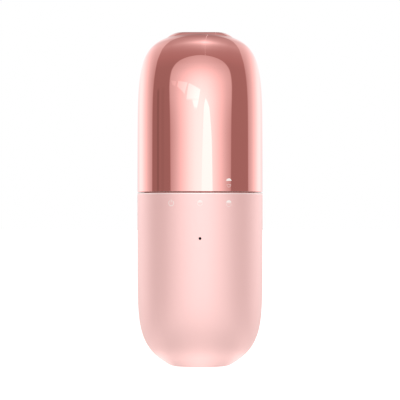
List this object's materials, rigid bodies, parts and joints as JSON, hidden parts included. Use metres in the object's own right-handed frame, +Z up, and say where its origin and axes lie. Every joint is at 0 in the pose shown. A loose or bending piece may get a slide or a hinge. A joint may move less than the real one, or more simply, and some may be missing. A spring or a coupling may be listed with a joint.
{
  "type": "desktop vacuum cleaner",
  "caption": "Palm-sized capsule vacuum: twist-off plated dust cup with a sprung inlet flap over a satin body holding filter, fan, motor and battery.",
  "frame": {"origin": "centre of the foot's underside, on the surface the cleaner stands on", "axes": "+Z up through the mouth, -Y to the front with the indicator, +Y to the exhaust grille and charging socket"},
  "size_m": [0.0678, 0.0678, 0.18],
  "materials": {
    "shell_satin": "satin spray coat, pale pink",
    "plated_rose": "vacuum-plated mirror, rose gold",
    "inner_plastic": "moulded, fine satin",
    "dark_plastic": "moulded, fine satin",
    "filter_plastic": "moulded, satin",
    "filter_paper": "pleated, matt",
    "mesh_steel": "woven wire",
    "silicone": "soft, matt",
    "pad_rubber": "soft, matt",
    "lens_smoked": "smoked, glossy",
    "sensor_case": "moulded",
    "circuit_board": "solder mask, semi-gloss",
    "cell_wrap": "shrink sleeve over a metal can",
    "motor_steel": "zinc-plated",
    "ferrite": "sintered, matt",
    "bush_bronze": "sintered bronze",
    "fan_aluminium": "turned, satin",
    "screw_steel": "bright zinc",
    "magnet_nickel": "nickel-plated"
  },
  "bodies": {
    "body": {"body_shell": "shell_satin", "foot_pad": "pad_rubber", "foot_screws": "screw_steel", "exhaust_grille": "shell_satin", "indicator_lens": "lens_smoked", "indicator_board": "circuit_board", "lock_collar": "inner_plastic", "neck_seal": "silicone", "hall_sensor": "sensor_case", "deck_screws": "screw_steel", "intake_guard": "inner_plastic", "fan_shroud": "dark_plastic", "fan_housing": "dark_plastic", "motor_can": "motor_steel", "motor_bush": "bush_bronze", "motor_endcap": "dark_plastic", "stator_magnets": "ferrite", "motor_sleeve": "pad_rubber", "motor_cage": "dark_plastic", "cage_screws": "screw_steel", "battery_cradle": "dark_plastic", "battery_cells": "cell_wrap", "cell_strip": "screw_steel", "control_board": "circuit_board", "board_screws": "screw_steel", "charging_socket": "screw_steel"},
    "rotor": {"impeller": "fan_aluminium", "armature": "motor_steel", "motor_shaft": "screw_steel"},
    "switch": {"switch_ring": "dark_plastic", "switch_magnet": "magnet_nickel"},
    "cup": {"cup_shell": "plated_rose", "bayonet_ring": "inner_plastic", "inlet_duct": "inner_plastic", "flap_pin": "screw_steel"},
    "flap": {"inlet_flap": "silicone"},
    "filter": {"filter_frame": "filter_plastic", "filter_mesh": "mesh_steel", "filter_pleats": "filter_paper", "filter_seal": "silicone"}
  },
  "joints": [
    {"name": "cup_twist", "type": "hinge", "parent": "body", "child": "switch", "pos_m": [0, 0, 0.0937], "axis": [0, 0, 1], "range_deg": [-53, 0]},
    {"name": "cup_lift", "type": "slide", "parent": "switch", "child": "cup", "axis": [0, 0, 1], "range_m": [0, 0.062]},
    {"name": "flap_swing", "type": "hinge", "parent": "cup", "child": "flap", "pos_m": [0, 0.00625, 0.1622], "axis": [1, 0, 0], "range_deg": [0, 70], "stiffness_Nm_per_rad": 0.0002, "springref_deg": -20.05},
    {"name": "filter_lift", "type": "slide", "parent": "body", "child": "filter", "axis": [0, 0, 1], "range_m": [0, 0.01]},
    {"name": "fan_spin", "type": "hinge", "parent": "body", "child": "rotor", "pos_m": [0, 0, 0.0905], "axis": [0, 0, 1], "continuous": true}
  ]
}
